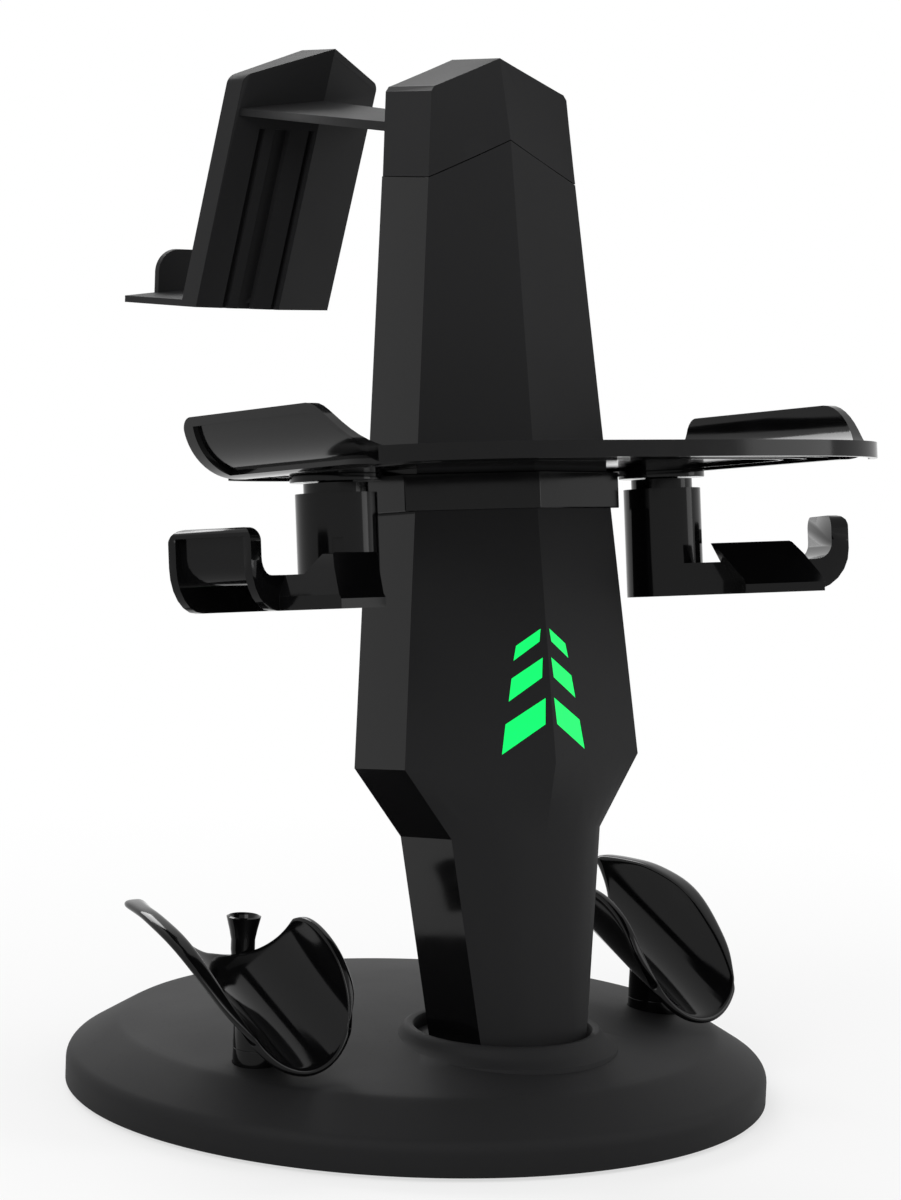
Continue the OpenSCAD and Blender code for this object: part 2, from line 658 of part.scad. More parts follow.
function trough_z(y) = cradle_z + cradle_slope * (y - cradle_y0);
function arc_length(h) = h <= trough_r ? trough_r * acos(1 - h / trough_r) * PI / 180
    : trough_r * PI / 2 + h - trough_r;
function rim_rise(c, a) = c < 0 ? mix(inner_rim[0], inner_rim[1], a) : lookup(a, outer_rim);
function back_edge(c) = c < 0 ? mix(cradle_y1, cradle_y1 - 14, -c) : mix(cradle_y1, cradle_y1 + 21, c * c);

// One point of the trough: c runs from the inner rim to the outer rim,
// a from the mouth to the back, and d outwards from the inner face
function trough_point(c, a, d) =
    let (y = mix(cradle_y0 + 5 * c * c, back_edge(c), a), l = abs(c) * arc_length(rim_rise(c, a)),
        turn = min(l / trough_r * 180 / PI, 90), up = max(0, l - trough_r * PI / 2), r = trough_r + d)
    [cradle_x + sign(c) * r * sin(turn), y, trough_z(y) + trough_r - r * cos(turn) + up];
function trough_row(a, d) = let (low = trough_point(-1, a, d), high = trough_point(1, a, d),
        drop = d > 0 ? d : 0, side = d > 0 ? 0 : trough_wall)
    concat([low + [-rim_lip - side, 0, -drop]],
        [low + [0, 0, -drop]], [for (j = [-9:9]) trough_point(j / 10, a, d)], [high + [0, 0, -drop]],
        [high + [rim_lip + side, 0, -drop]]);
function trough_grid(d) = [for (i = [0:12]) trough_row(i / 12, d)];

module cradle() color(glossy) difference() {
    union() {
        between(trough_grid(trough_wall), trough_grid(0));
        difference() {
            translate([cradle_x, post_y, post_top]) cylinder(r = post_r, h = 30);
            translate([0, post_y, trough_z(post_y) - trough_wall / 2]) rotate([atan(cradle_slope), 0, 0])
                translate([0, -60, 0]) cube([200, 120, 60]);
        }
        contact_stub();
    }
    translate([cradle_x, post_y, post_top - 1]) cylinder(r = spigot_r + gap / 2, h = 5.3, $fn = 48);
}

// Flared stub behind the trough, which guides the lead of a controller's contacts
module contact_stub() translate([cradle_x - stub_in, cradle_y1 - 1, trough_z(cradle_y1)])
    rotate_extrude($fn = 48) polygon([[2.2, -5], [stub_r - 0.6, -5], [stub_r, 0], [stub_r, 3],
        [stub_r + 0.6, 6], [stub_r + 1.6, stub_h], [stub_r + 0.2, stub_h], [stub_r - 0.8, 6],
        [2.2, 3]]);
module right_cradle() cradle();
module left_cradle() mirror([1, 0, 0]) cradle();

module post() color(glossy) translate([cradle_x, post_y, 0]) difference() {
    union() {
        translate([0, 0, post_seat_z]) cylinder(r = post_r, h = post_top - post_seat_z);
        translate([0, 0, post_seat_z]) cylinder(r = spigot_r, h = post_top - post_seat_z + 4, $fn = 48);
    }
    cylinder(r = screw_r, h = post_top + 2, $fn = 24);
}
module right_post() post();
module left_post() mirror([1, 0, 0]) post();
module post_screws() color(steel) both_sides()
    translate([cradle_x, post_y, post_seat_z - post_floor]) screw(8);

// The strap hanger

function cap_point(t, k, back) =
    let (a = abs(t), s = mix(seam_s + gap + seam_rise * (1 - a),
            roof_s + roof_rise * (1 - a) - 3.2 * pow(max(0, a - 0.8) / 0.2, 2), k),
        y = front_y - mix(seam_v, roof_v, k) * (1 - a))
    back ? [t * half_w(s), cap_back, s + (cap_back - y) * tan(lean)] : [t * half_w(s), y, s];
function cap_grid(back) = [for (k = [0:0.25:1]) [for (t = round_steps) cap_point(t, k, back)]];

// Gabled outline: its edges at height z, its middle rise higher, t thick
module gable(hw, z, rise, t) polygon([[-hw, z], [0, z + rise], [hw, z],
    [hw, z - t], [0, z + rise - t], [-hw, z - t]]);

module strap_hanger() color(satin) {
    leaning() {
        between(cap_grid(true), cap_grid(false));
        difference() {
            translate([-cap_plug_x, front_y + 3, seam_s - 16])
                cube([2 * cap_plug_x, cap_back - col_wall - 4 - front_y, 22]);
            for (x = [-cap_screw_x, cap_screw_x]) translate([x, back_y + 1, cap_screw_s]) rotate([90, 0, 0])
                cylinder(r = screw_r, h = 16, $fn = 24);
        }
    }
    front_prism(bridge_y0, panel_top_y + 1.4) gable(hanger_hw - 1, bridge_z, bridge_rise, bridge_t);
    hanging_panel();
    intersection() {
        front_prism(0, panel_y + ledge_d) gable(hanger_hw, panel_z + ledge_t, ledge_rise, ledge_t);
        linear_extrude(400) polygon([[-hanger_hw, panel_y + 1], [0, panel_y - panel_v + 1], [hanger_hw, panel_y + 1],
            [hanger_hw, 300], [-hanger_hw, 300]]);
    }
    front_prism(panel_y + ledge_d - tab_t, panel_y + ledge_d) tab_outline();
}

module tab_outline() {
    translate([-tab_hw, panel_z]) square([2 * tab_hw, ledge_rise + tab_h - 6]);
    both_sides() translate([tab_hw - 8, panel_z + ledge_rise + tab_h - 6.5]) circle(r = 8, $fn = 48);
    translate([8 - tab_hw, panel_z]) square([2 * tab_hw - 16, ledge_rise + tab_h + 1.5]);
}

// Space under the panel's roof, d below its face
module under_roof(d) front_prism(0, 300) polygon([[-60, 0], [60, 0], [60, roof_edge_z - d - (60 - hanger_hw) * roof_slope],
    [0, roof_edge_z - d + hanger_hw * roof_slope], [-60, roof_edge_z - d - (60 - hanger_hw) * roof_slope]]);
module slanted() translate([0, panel_y, panel_z]) rotate([panel_slant, 0, 0]) translate([0, 0, -20])
    linear_extrude(panel_h + 60) children();

module front_fold(back) polygon([[-hanger_hw, 0], [0, -panel_v], [hanger_hw, 0], [hanger_hw, back], [-hanger_hw, back]]);

// The panel: a folded front skin with channels and a bordered top, hollow behind
module hanging_panel() difference() {
    intersection() {
        slanted() front_fold(panel_d);
        under_roof(0);
    }
    intersection() {
        slanted() for (c = channels) translate([c[0], -panel_v * (1 + (c[0] + c[1] / 2) / hanger_hw) - 3])
            square([c[1], 3 + channel_d]);
        translate([-100, 0, 0]) cube([200, 300, bridge_z - 4]);
    }
    intersection() {
        slanted() difference() {
            translate([border_w - hanger_hw, -30]) square([2 * hanger_hw - border_w + 1, 60]);
            translate([0, channel_d]) front_fold(40);
        }
        under_roof(roof_t);
        translate([-100, 0, bridge_z]) cube([200, 300, 200]);
    }
    intersection() {
        slanted() polygon([[-hanger_hw + flange_t, panel_d + 1], [-hanger_hw + flange_t, skin_t],
            [0, skin_t - panel_v], [hanger_hw - flange_t, skin_t], [hanger_hw - flange_t, panel_d + 1]]);
        under_roof(roof_t);
        translate([-100, 0, panel_z - 20]) cube([200, 300, 200]);
    }
    translate([-100, 0, panel_z - 60]) cube([200, 300, 60]);
}

module hanger_screws() color(steel) leaning() for (x = [-cap_screw_x, cap_screw_x])
    translate([x, back_at(cap_screw_s) - 0.8, cap_screw_s]) rotate([90, 0, 0]) screw(column_screw_l);

base_cover();
base_plate();
ballast_weight();
rubber_feet();
base_screws();
charging_board();
usb_inlet();
column_foot_plate();
foot_screws();
column_body();
column_front();
column_screws();
light_window();
led_board();
shelf_band();
headset_shelf();
left_pivot();
right_pivot();
left_holder();
right_holder();
pivot_screws();
left_post();
right_post();
left_cradle();
right_cradle();
post_screws();
strap_hanger();
hanger_screws();
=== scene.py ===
# %% [markdown]
# # A charging stand for a headset and two hand controllers
# The stand is black plastic: a domed base, a ridged column that leans back, a shelf, two hooks,
# two scooped cradles and a folded bracket for the head strap. The measured solids come in as a
# fixed frame, in metres, and every piece made here sits where the solids say.

# %% Load the frame
import json
import math
import bpy
from mathutils import Matrix, Vector


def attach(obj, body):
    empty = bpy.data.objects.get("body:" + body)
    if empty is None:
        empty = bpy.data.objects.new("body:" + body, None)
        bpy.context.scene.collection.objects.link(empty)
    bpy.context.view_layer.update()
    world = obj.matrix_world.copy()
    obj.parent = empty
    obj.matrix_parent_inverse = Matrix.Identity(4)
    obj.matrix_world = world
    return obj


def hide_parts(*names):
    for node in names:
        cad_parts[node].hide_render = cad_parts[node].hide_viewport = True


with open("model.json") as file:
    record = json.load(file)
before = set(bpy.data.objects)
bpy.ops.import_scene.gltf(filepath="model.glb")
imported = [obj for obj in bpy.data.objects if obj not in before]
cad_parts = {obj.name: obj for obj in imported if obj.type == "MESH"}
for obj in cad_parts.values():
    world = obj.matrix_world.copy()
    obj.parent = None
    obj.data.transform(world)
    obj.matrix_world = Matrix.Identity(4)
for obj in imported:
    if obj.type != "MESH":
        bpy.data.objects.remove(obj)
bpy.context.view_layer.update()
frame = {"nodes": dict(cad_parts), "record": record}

nodes = frame["nodes"]
MM = 0.001

# %% [markdown]
# ## The camera
# The photo was taken from the front left and a little above. The round base, the column's edges
# and the roof were measured in the photo, and this place, turn and focal length put them all
# back on their pixels. A long lens gives the quiet perspective of a product photo.

# %% Set up the camera
AZIMUTH, PITCH, ROLL, LENS, CAMERA_AT = 36.0, 6.08, 2.30, 100.7, (-605.8, -842.0, 264.6)


def turned_axes(azimuth, pitch, roll):
    """Right, up and forward of a camera that looks forward, down by pitch and tilted by roll."""
    a, p, r = (math.radians(v) for v in (azimuth, pitch, roll))
    level = Vector((math.sin(a), math.cos(a), 0))
    right = Vector((math.cos(a), -math.sin(a), 0))
    forward = level * math.cos(p) - Vector((0, 0, 1)) * math.sin(p)
    up = Vector((0, 0, 1)) * math.cos(p) + level * math.sin(p)
    return (right * math.cos(r) + up * math.sin(r),
            up * math.cos(r) - right * math.sin(r), forward)


x_axis, y_axis, looks = turned_axes(AZIMUTH, PITCH, ROLL)
camera = bpy.data.objects.new("camera", bpy.data.cameras.new("camera"))
bpy.context.scene.collection.objects.link(camera)
camera.data.lens = LENS
camera.data.sensor_width = 36
rows = [(x_axis[i], y_axis[i], -looks[i], CAMERA_AT[i] * MM) for i in range(3)]
camera.matrix_world = Matrix(rows + [(0, 0, 0, 1)])
bpy.context.scene.camera = camera
print("camera height in mm:", round(camera.location.z / MM, 1))

# %% [markdown]
# ## Shader arithmetic
# A pattern on plastic is a formula of place. One small class wraps a node's socket, so that a
# formula is written as plain arithmetic and Blender's maths nodes are made behind it.

# %% Write shader maths as expressions
class Value:
    """A socket of a node tree that can be added, subtracted and multiplied."""

    def __init__(self, tree, socket):
        self.tree, self.socket = tree, socket

    def math(self, operation, *others):
        sockets = {i: v for i, v in enumerate((self,) + others)}
        return self.tree.node("ShaderNodeMath", {"operation": operation}, sockets)[0]

    def __add__(self, other):
        return self.math("ADD", other)

    __radd__ = __add__

    def __sub__(self, other):
        return self.math("SUBTRACT", other)

    def __rsub__(self, other):
        return self.math("MULTIPLY_ADD", -1.0, other)

    def __mul__(self, other):
        return self.math("MULTIPLY", other)

    __rmul__ = __mul__

    def clamped(self, low=0.0, high=1.0):
        return self.math("MAXIMUM", low).math("MINIMUM", high)


class Tree:
    """The node tree of one material or world, and the one method that adds its nodes."""

    def __init__(self, owner):
        owner.use_nodes = True
        self.owner, self.nodes, self.links = owner, owner.node_tree.nodes, owner.node_tree.links
        self.nodes.clear()

    def node(self, kind, settings=None, sockets=None):
        made = self.nodes.new(kind)
        for key, value in (settings or {}).items():
            setattr(made, key, value)
        for key, value in (sockets or {}).items():
            if isinstance(value, Value):
                self.links.new(value.socket, made.inputs[key])
            else:
                made.inputs[key].default_value = value
        return [Value(self, out) for out in made.outputs]

    def place(self):
        """The point in the object's own space, in metres."""
        return self.node("ShaderNodeTexCoord")[3]

    def noise(self, scale, detail, stretch=None):
        at = self.place()
        if stretch:
            at = self.node("ShaderNodeMapping", {}, {0: at, "Scale": stretch})[0]
        return self.node("ShaderNodeTexNoise", {},
                         {"Vector": at, "Scale": scale, "Detail": detail})[0]

    def blend(self, amount, low, high):
        return self.node("ShaderNodeMix", {"data_type": "RGBA"},
                         {0: amount, 6: (*low, 1), 7: (*high, 1)})[2]

    def bump(self, height, distance, strength):
        return self.node("ShaderNodeBump", {},
                         {"Height": height, "Distance": distance, "Strength": strength})[0]


print("shader helper ready")

# %% [markdown]
# ## Satin plastic
# The base, the column's front and the hanger are moulded in a fine satin texture. Up close
# it is a spark-eroded skin of tiny soft grains, with a little more shine where a mould was
# polished, and faint dust. It is a dark grey and not a pure black. A picture could carry the
# grain, but noise at the grain's real size has no seams and stays sharp up close.

# %% Make the satin plastic
def satin_plastic(name, tone):
    tree = Tree(bpy.data.materials.new(name))
    grain = tree.noise(2600.0, 2.0)
    cloud = tree.noise(34.0, 3.0)
    dust = (tree.noise(900.0, 1.0) - 0.66).clamped() * 2.2
    colour = tree.blend((cloud * 0.7 + grain * 0.3).clamped(),
                        [c * 0.82 for c in tone], [c * 1.2 for c in tone])
    rough = (0.56 + cloud * 0.1 + grain * 0.05 + dust * 0.2).clamped(0.2, 0.8)
    skin = tree.node("ShaderNodeBsdfPrincipled", {}, {
        "Base Color": colour, "Roughness": rough, "IOR": 1.46, "Specular IOR Level": 0.16,
        "Normal": tree.bump(grain, 0.00004, 0.35)})[0]
    tree.node("ShaderNodeOutputMaterial", {}, {"Surface": skin})
    return tree.owner


satin = satin_plastic("satin_black", (0.0095, 0.0095, 0.0100))
print(satin.name, "has", len(satin.node_tree.nodes), "nodes")

# %% [markdown]
# ## Polished plastic
# The sides of the column, the shelf, the hooks and the cradles come from a polished mould. They
# mirror the room, and the wall's slight sink gives the mirror a soft wave. Handling leaves a
# thin film that only shows in the highlights, so it goes into the roughness. The wave is a bump
# and not geometry, since it is far too shallow to be seen in the outline.

# %% Make the polished plastic
def gloss_plastic(name, tone):
    tree = Tree(bpy.data.materials.new(name))
    sink = tree.noise(26.0, 1.0)
    film = (tree.noise(70.0, 4.0) - 0.45).clamped() * 1.4
    hair = tree.noise(900.0, 2.0, (1, 1, 0.08))
    colour = tree.blend((film * 0.6 + hair * 0.2).clamped(),
                        [c * 0.8 for c in tone], [c * 1.5 for c in tone])
    rough = (0.075 + film * 0.09 + hair * 0.03).clamped(0.05, 0.4)
    skin = tree.node("ShaderNodeBsdfPrincipled", {}, {
        "Base Color": colour, "Roughness": rough, "IOR": 1.5, "Specular IOR Level": 0.17,
        "Normal": tree.bump(sink, 0.0004, 0.18)})[0]
    tree.node("ShaderNodeOutputMaterial", {}, {"Surface": skin})
    return tree.owner


gloss = gloss_plastic("gloss_black", (0.0026, 0.0026, 0.0028))
print(gloss.name, "has", len(gloss.node_tree.nodes), "nodes")

# %% [markdown]
# ## The lit windows
# Green lamps shine through a clear guide, and its pads fill the windows of the column's front.
# The light is nearly even: it pools a little in soft patches, and the guide's fine prisms show
# as a faint grain. The glow is an emission, so it needs no lamp in the scene.

# %% Make the lit green guide
def lit_guide(name, tone):
    tree = Tree(bpy.data.materials.new(name))
    prisms = tree.noise(1400.0, 1.0)
    pool = tree.noise(60.0, 1.0)
    glow = tree.blend((pool * 0.8 + prisms * 0.2).clamped(), [c * 0.92 for c in tone], tone)
    skin = tree.node("ShaderNodeBsdfPrincipled", {}, {
        "Base Color": tree.blend(prisms, (0.0, 0.18, 0.05), (0.0, 0.25, 0.08)),
        "Roughness": (0.28 + prisms * 0.12), "Emission Color": glow, "Emission Strength": 1.0,
        "Specular IOR Level": 0.2})[0]
    tree.node("ShaderNodeOutputMaterial", {}, {"Surface": skin})
    return tree.owner


green = lit_guide("green_light", (0.0, 1.0, 0.13))
print(green.name, "glows")

# %% [markdown]
# ## Steel, rubber and board
# The screws and the inlet's shell are plated steel with fine turning marks. The feet are soft
# moulded rubber with a bloom. The boards have a green mask over faint copper tracks. All of them
# are hidden or small, so each takes one or two patterns and no more.

# %% Make the steel, the rubber and the board
def plated_steel(name, tone, stretch):
    tree = Tree(bpy.data.materials.new(name))
    marks = tree.noise(700.0, 3.0, stretch)
    stain = tree.noise(60.0, 3.0)
    colour = tree.blend((marks * 0.6 + stain * 0.4).clamped(), [c * 0.75 for c in tone], tone)
    skin = tree.node("ShaderNodeBsdfPrincipled", {}, {
        "Base Color": colour, "Metallic": 1.0, "Roughness": (0.2 + marks * 0.22 + stain * 0.08),
        "Normal": tree.bump(marks, 0.00005, 0.5)})[0]
    tree.node("ShaderNodeOutputMaterial", {}, {"Surface": skin})
    return tree.owner


def soft_rubber(name):
    tree = Tree(bpy.data.materials.new(name))
    pores = tree.noise(1500.0, 3.0)
    bloom = tree.noise(120.0, 4.0)
    skin = tree.node("ShaderNodeBsdfPrincipled", {}, {
        "Base Color": tree.blend(bloom, (0.012, 0.012, 0.012), (0.035, 0.035, 0.034)),
        "Roughness": (0.62 + bloom * 0.2 + pores * 0.1).clamped(), "Specular IOR Level": 0.3,
        "Normal": tree.bump(pores, 0.00008, 0.6)})[0]
    tree.node("ShaderNodeOutputMaterial", {}, {"Surface": skin})
    return tree.owner


def masked_board(name):
    tree = Tree(bpy.data.materials.new(name))
    cells = tree.node("ShaderNodeTexVoronoi", {"distance": "MANHATTAN", "feature": "F1"},
                      {"Vector": tree.place(), "Scale": 260.0})[0]
    tracks = ((cells - 0.32) * 30.0).clamped() * ((0.42 - cells) * 30.0).clamped()
    skin = tree.node("ShaderNodeBsdfPrincipled", {}, {
        "Base Color": tree.blend(tracks, (0.006, 0.05, 0.02), (0.03, 0.13, 0.05)),
        "Roughness": (0.3 + tracks * 0.12), "Normal": tree.bump(tracks, 0.00003, 0.8)})[0]
    tree.node("ShaderNodeOutputMaterial", {}, {"Surface": skin})
    return tree.owner


steel = plated_steel("steel", (0.42, 0.42, 0.43), (1, 1, 6))
bright_steel = plated_steel("bright_steel", (0.66, 0.66, 0.68), (6, 1, 1))
rubber = soft_rubber("black_rubber")
board = masked_board("circuit_board")
finishes = {m.name.split(".")[0]: m
            for m in (satin, gloss, green, steel, bright_steel, rubber, board)}
print("finishes:", sorted(finishes))

# %% [markdown]
# ## Every solid gets its finish
# The record says which finish each node has. Every node takes its material here, and a piece
# that replaces a node takes the same one later, so that no finish is chosen twice.

# %% Give each node its finish
slot_of = {s["node"]: s["material_slot"] for s in frame["record"]["subparts"]}


def dress(piece, node):
    """The piece takes the finish of that node."""
    piece.data.materials.clear()
    piece.data.materials.append(finishes[slot_of[node]])


for name, solid in nodes.items():
    dress(solid, name)
print("finished", len(nodes), "nodes")

# %% [markdown]
# ## Handling a piece
# Blender's tools act on whatever is selected, so each step first selects nothing and then picks
# its faces or edges by their place. A piece is drawn where it belongs, and its place is baked
# into its mesh, so that its object stays at the origin. Blocks and rods are the plain cutters.

# %% Select and place a piece
def pick_none():
    bpy.ops.object.select_all(action="DESELECT")


def only(piece):
    pick_none()
    piece.select_set(True)
    bpy.context.view_layer.objects.active = piece


def edit(piece):
    only(piece)
    bpy.ops.object.mode_set(mode="EDIT")


def done():
    bpy.ops.object.mode_set(mode="OBJECT")


def apply_all(piece):
    only(piece)
    for modifier in list(piece.modifiers):
        bpy.ops.object.modifier_apply(modifier=modifier.name)


def bake_place(piece):
    only(piece)
    bpy.ops.object.transform_apply(location=True, rotation=True, scale=True)


def face_out(piece):
    edit(piece)
    bpy.ops.mesh.select_all(action="SELECT")
    bpy.ops.mesh.remove_doubles(threshold=0.000002)
    bpy.ops.mesh.normals_make_consistent(inside=False)
    done()


def block(size, place):
    """A block round its place, in whatever unit the piece it meets is drawn in."""
    pick_none()
    bpy.ops.mesh.primitive_cube_add(size=1)
    made = bpy.context.object
    made.scale, made.location = size, place
    bake_place(made)
    return made


def rod(radius, depth, place, sides, tilt=0.0):
    """A round rod, upright or tilted round y by some degrees."""
    pick_none()
    bpy.ops.mesh.primitive_cylinder_add(vertices=sides, radius=radius, depth=depth)
    made = bpy.context.object
    made.rotation_euler, made.location = (0, math.radians(tilt), 0), place
    bake_place(made)
    return made


print("selecting and placing ready")

# %% [markdown]
# ## Edges, booleans and handing over
# Plastic looks real by its edges. A bevel rounds them, smooth shading is kept to small angles,
# and weighted normals keep the large faces flat. Pieces are cut and joined with the exact
# boolean. A finished piece then stands for its solid.

# %% Shade, round, join and hand over a piece
def smooth(piece, angle):
    only(piece)
    bpy.ops.object.shade_smooth_by_angle(angle=math.radians(angle))


def flat_faces(piece):
    """Large faces keep their own normal, so that only the rounded edges are shaded round."""
    even = piece.modifiers.new("even", "WEIGHTED_NORMAL")
    even.keep_sharp, even.weight = True, 90
    apply_all(piece)


def pick_edges(piece, wanted):
    """Selects the edges both of whose ends pass the test, and stays in edit mode."""
    edit(piece)
    bpy.ops.mesh.select_mode(type="EDGE")
    bpy.ops.mesh.select_all(action="DESELECT")
    done()
    points = piece.data.vertices
    for edge in piece.data.edges:
        edge.select = all(wanted(points[i].co / MM) for i in edge.vertices)
    edit(piece)


def crease(piece, wanted):
    """Keeps the edges sharp both of whose ends pass the test."""
    pick_edges(piece, wanted)
    bpy.ops.mesh.mark_sharp()
    bpy.ops.mesh.select_mode(type="VERT")
    done()


def rounded_edges(piece, radius, segments=2, angle=28.0):
    edge = piece.modifiers.new("edge", "BEVEL")
    edge.width, edge.segments = radius * MM, segments
    edge.limit_method, edge.angle_limit = "ANGLE", math.radians(angle)
    edge.use_clamp_overlap = True
    apply_all(piece)


def joined(piece, other, operation):
    """Adds or cuts the other piece, which then goes."""
    cut = piece.modifiers.new("cut", "BOOLEAN")
    cut.operation, cut.solver, cut.object = operation, "EXACT", other
    apply_all(piece)
    bpy.data.objects.remove(other, do_unlink=True)


def seat(piece, *replaced):
    """A finished piece stands for those nodes and rides on the stand's one body."""
    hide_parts(*replaced)
    dress(piece, replaced[0])
    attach(piece, "root")
    return piece


print("modelling helpers ready")

# %% [markdown]
# ## The domed base
# The cover is turned: every level cut through it is a circle. It is drawn as a potter would,
# ring by ring from the foot up: one circle is extruded up and resized for each point of
# the half section. A spun profile would give the same shape. Rings need no seam to be closed,
# and each one is a plain pair of radius and height.

# %% Turn a piece ring by ring
def extrude(z):
    bpy.ops.mesh.extrude_region_move(TRANSFORM_OT_translate={"value": (0, 0, z)})


def turned(name, rings, centre=(0, 0), sides=192):
    """A closed piece from rings of (radius, height), in mm, round an upright axis."""
    pick_none()
    x, y = centre[0] * MM, centre[1] * MM
    radius, height = rings[0]
    bpy.ops.mesh.primitive_circle_add(vertices=sides, radius=radius * MM, fill_type="NGON",
                                      location=(x, y, height * MM))
    piece = bpy.context.object
    piece.name = name
    edit(piece)
    for wide, high in rings[1:]:
        extrude((high - height) * MM)
        grow = wide / radius
        bpy.ops.transform.resize(value=(grow, grow, 1), center_override=(x, y, high * MM))
        radius, height = wide, high
    done()
    bake_place(piece)
    face_out(piece)
    return piece


print("turning ready")

# %% [markdown]
# ## The cover's half section, ring, seats and inlet
# A straight wall, a rounded shoulder, a cone, and a low dome follow each other. The collar hugs
# the column's foot, a pocket is sunk within it for the column, and each cradle's post stands in
# a shallow seat. The inlet's slot is a rounded block that is cut out of the wall at the back.
# Booleans do this, as the parts only meet at a few places. All sizes are in mm.

# %% Make the cover of the base
BASE_R, SHOULDER_R, RIM_H, TOP_R, TOP_Z, DOME = 110, 5, 12.6, 94, 20, 7
COLUMN_AT, POCKET_R, POCKET_Z = (0, -44), 27, 24.5
CRADLE_X, POST_Y, SEAT_R, SEAT_Z = 75, -24.5, 8.15, 19.87
SLOT_SIZE, SLOT_AT, SLOT_ROUND = (9.5, 20, 3.8), (0, 108, 8.2), 1.85
CUTTER_TOP = 40


def dome_height(radius):
    return TOP_Z + DOME * (1 - (radius / TOP_R) ** 2)


rings = [(107.4, 3.5), (107.4, 1.0), (109.5, 1.0), (BASE_R, 1.5), (BASE_R, 4)]
for turn in range(0, 61, 10):
    a = math.radians(turn)
    rings.append((BASE_R - SHOULDER_R + SHOULDER_R * math.cos(a),
                  RIM_H - SHOULDER_R + SHOULDER_R * math.sin(a)))
rings += [(TOP_R + 2.2, TOP_Z - 1.25), (TOP_R + 1.0, TOP_Z - 0.6),
          (TOP_R, TOP_Z - 0.1), (TOP_R - 1.2, TOP_Z + 0.25)]
rings += [(r, dome_height(r)) for r in (90, 82, 70, 56, 40, 24, 10, 2)]
cover = turned("domed_cover", rings)
collar_rings = [(35.5, 22), (35, 23.4), (33.6, 24.3), (32.3, 25.2), (31.4, 26.2), (30.7, 27.4),
                (30.1, 28.3), (29.3, 28.8), (28.2, 28.8), (27.4, 28.5), (POCKET_R, 27.8)]
joined(cover, turned("collar", collar_rings, COLUMN_AT, 128), "UNION")
pocket = turned("pocket", [(POCKET_R, POCKET_Z), (POCKET_R, CUTTER_TOP)], COLUMN_AT, 128)
joined(cover, pocket, "DIFFERENCE")
for side in (-1, 1):
    sunk = turned("post_seat", [(SEAT_R, SEAT_Z), (SEAT_R, CUTTER_TOP)],
                  (side * CRADLE_X, POST_Y), 64)
    joined(cover, sunk, "DIFFERENCE")
slot = block([v * MM for v in SLOT_SIZE], [v * MM for v in SLOT_AT])
rounded_edges(slot, SLOT_ROUND, 5)
joined(cover, slot, "DIFFERENCE")
face_out(cover)
smooth(cover, 30)
seat(cover, "base_cover")
print("cover:", len(cover.data.polygons), "faces")

# %% [markdown]
# ## The scooped cradles
# Each cradle is one sheet bent like a shoe horn: a half-round trough that climbs to the back,
# with a rim that turns outwards. The mouth at the front is low, the inner wall stays high, and
# the outer wall runs out to a tip at the back. It could be carved out of a block, but a sheet
# keeps the wall even, as a mould does. So a flat grid is bent point by point, thickened and
# smoothed.

# %% Bend the cradle's sheet
MOUTH_Y, BACK_Y, MOUTH_Z, SLOPE, TROUGH_R, WALL = -52, 4, 24.4, 0.44, 19, 2.4
INNER_DRAWN, OUTER_DRAWN, MOUTH_DRAWN = -14, 21, 5
OUTER_RIM = [(0, 7), (0.2, 13), (0.45, 16.5), (0.7, 13.5), (0.88, 8.5), (1, 4.5)]
INNER_RIM = [(0, 9), (0.14, 16), (0.34, 21.5), (0.6, 23), (0.85, 21), (1, 17)]


def along_curve(points, at):
    """A smooth curve through the points, level or sloped as its neighbours ask."""
    last = len(points) - 1
    for i, ((a, low), (b, high)) in enumerate(zip(points, points[1:])):
        if at <= b or i == last - 1:
            before, after = points[max(i - 1, 0)], points[min(i + 2, last)]
            start = (high - before[1]) / (b - before[0]) * (b - a)
            end = (after[1] - low) / (after[0] - a) * (b - a)
            t = (at - a) / (b - a)
            return (low * (2 * t ** 3 - 3 * t * t + 1) + high * (3 * t * t - 2 * t ** 3)
                    + start * (t ** 3 - 2 * t * t + t) + end * (t ** 3 - t * t))


def trough_floor(y):
    return MOUTH_Z + SLOPE * (y - MOUTH_Y)


def trough_point(across, along, lip):
    """across runs from the inner rim at -1 to the outer at 1, along from the mouth to the back."""
    side = abs(across)
    rise = along_curve(INNER_RIM if across < 0 else OUTER_RIM, along)
    back = BACK_Y + (INNER_DRAWN * side if across < 0 else OUTER_DRAWN * side * side)
    mouth = MOUTH_Y + MOUTH_DRAWN * side * side
    y = mouth + (back - mouth) * along
    length = TROUGH_R * math.acos(1 - min(rise, TROUGH_R) / TROUGH_R) + max(0, rise - TROUGH_R)
    length *= side
    turn = min(length / TROUGH_R, math.pi / 2)
    up = max(0, length - TROUGH_R * math.pi / 2)
    x = math.copysign(TROUGH_R * math.sin(turn) + lip, across)
    return Vector((CRADLE_X + x, y, trough_floor(y) + TROUGH_R - TROUGH_R * math.cos(turn) + up)) * MM


def lip_width(along, outer):
    """How far the rim turns outwards, in mm. The outer rim swells in the middle and at its tip."""
    ends = min(1, 8 * along, 8 * (1 - along) + (0.7 if outer else 0))
    wide = 0.4 + 2.6 * ends
    if outer:
        wide += 3.4 * math.sin(math.pi * along) ** 2 + 4.5 * along ** 4
    return wide


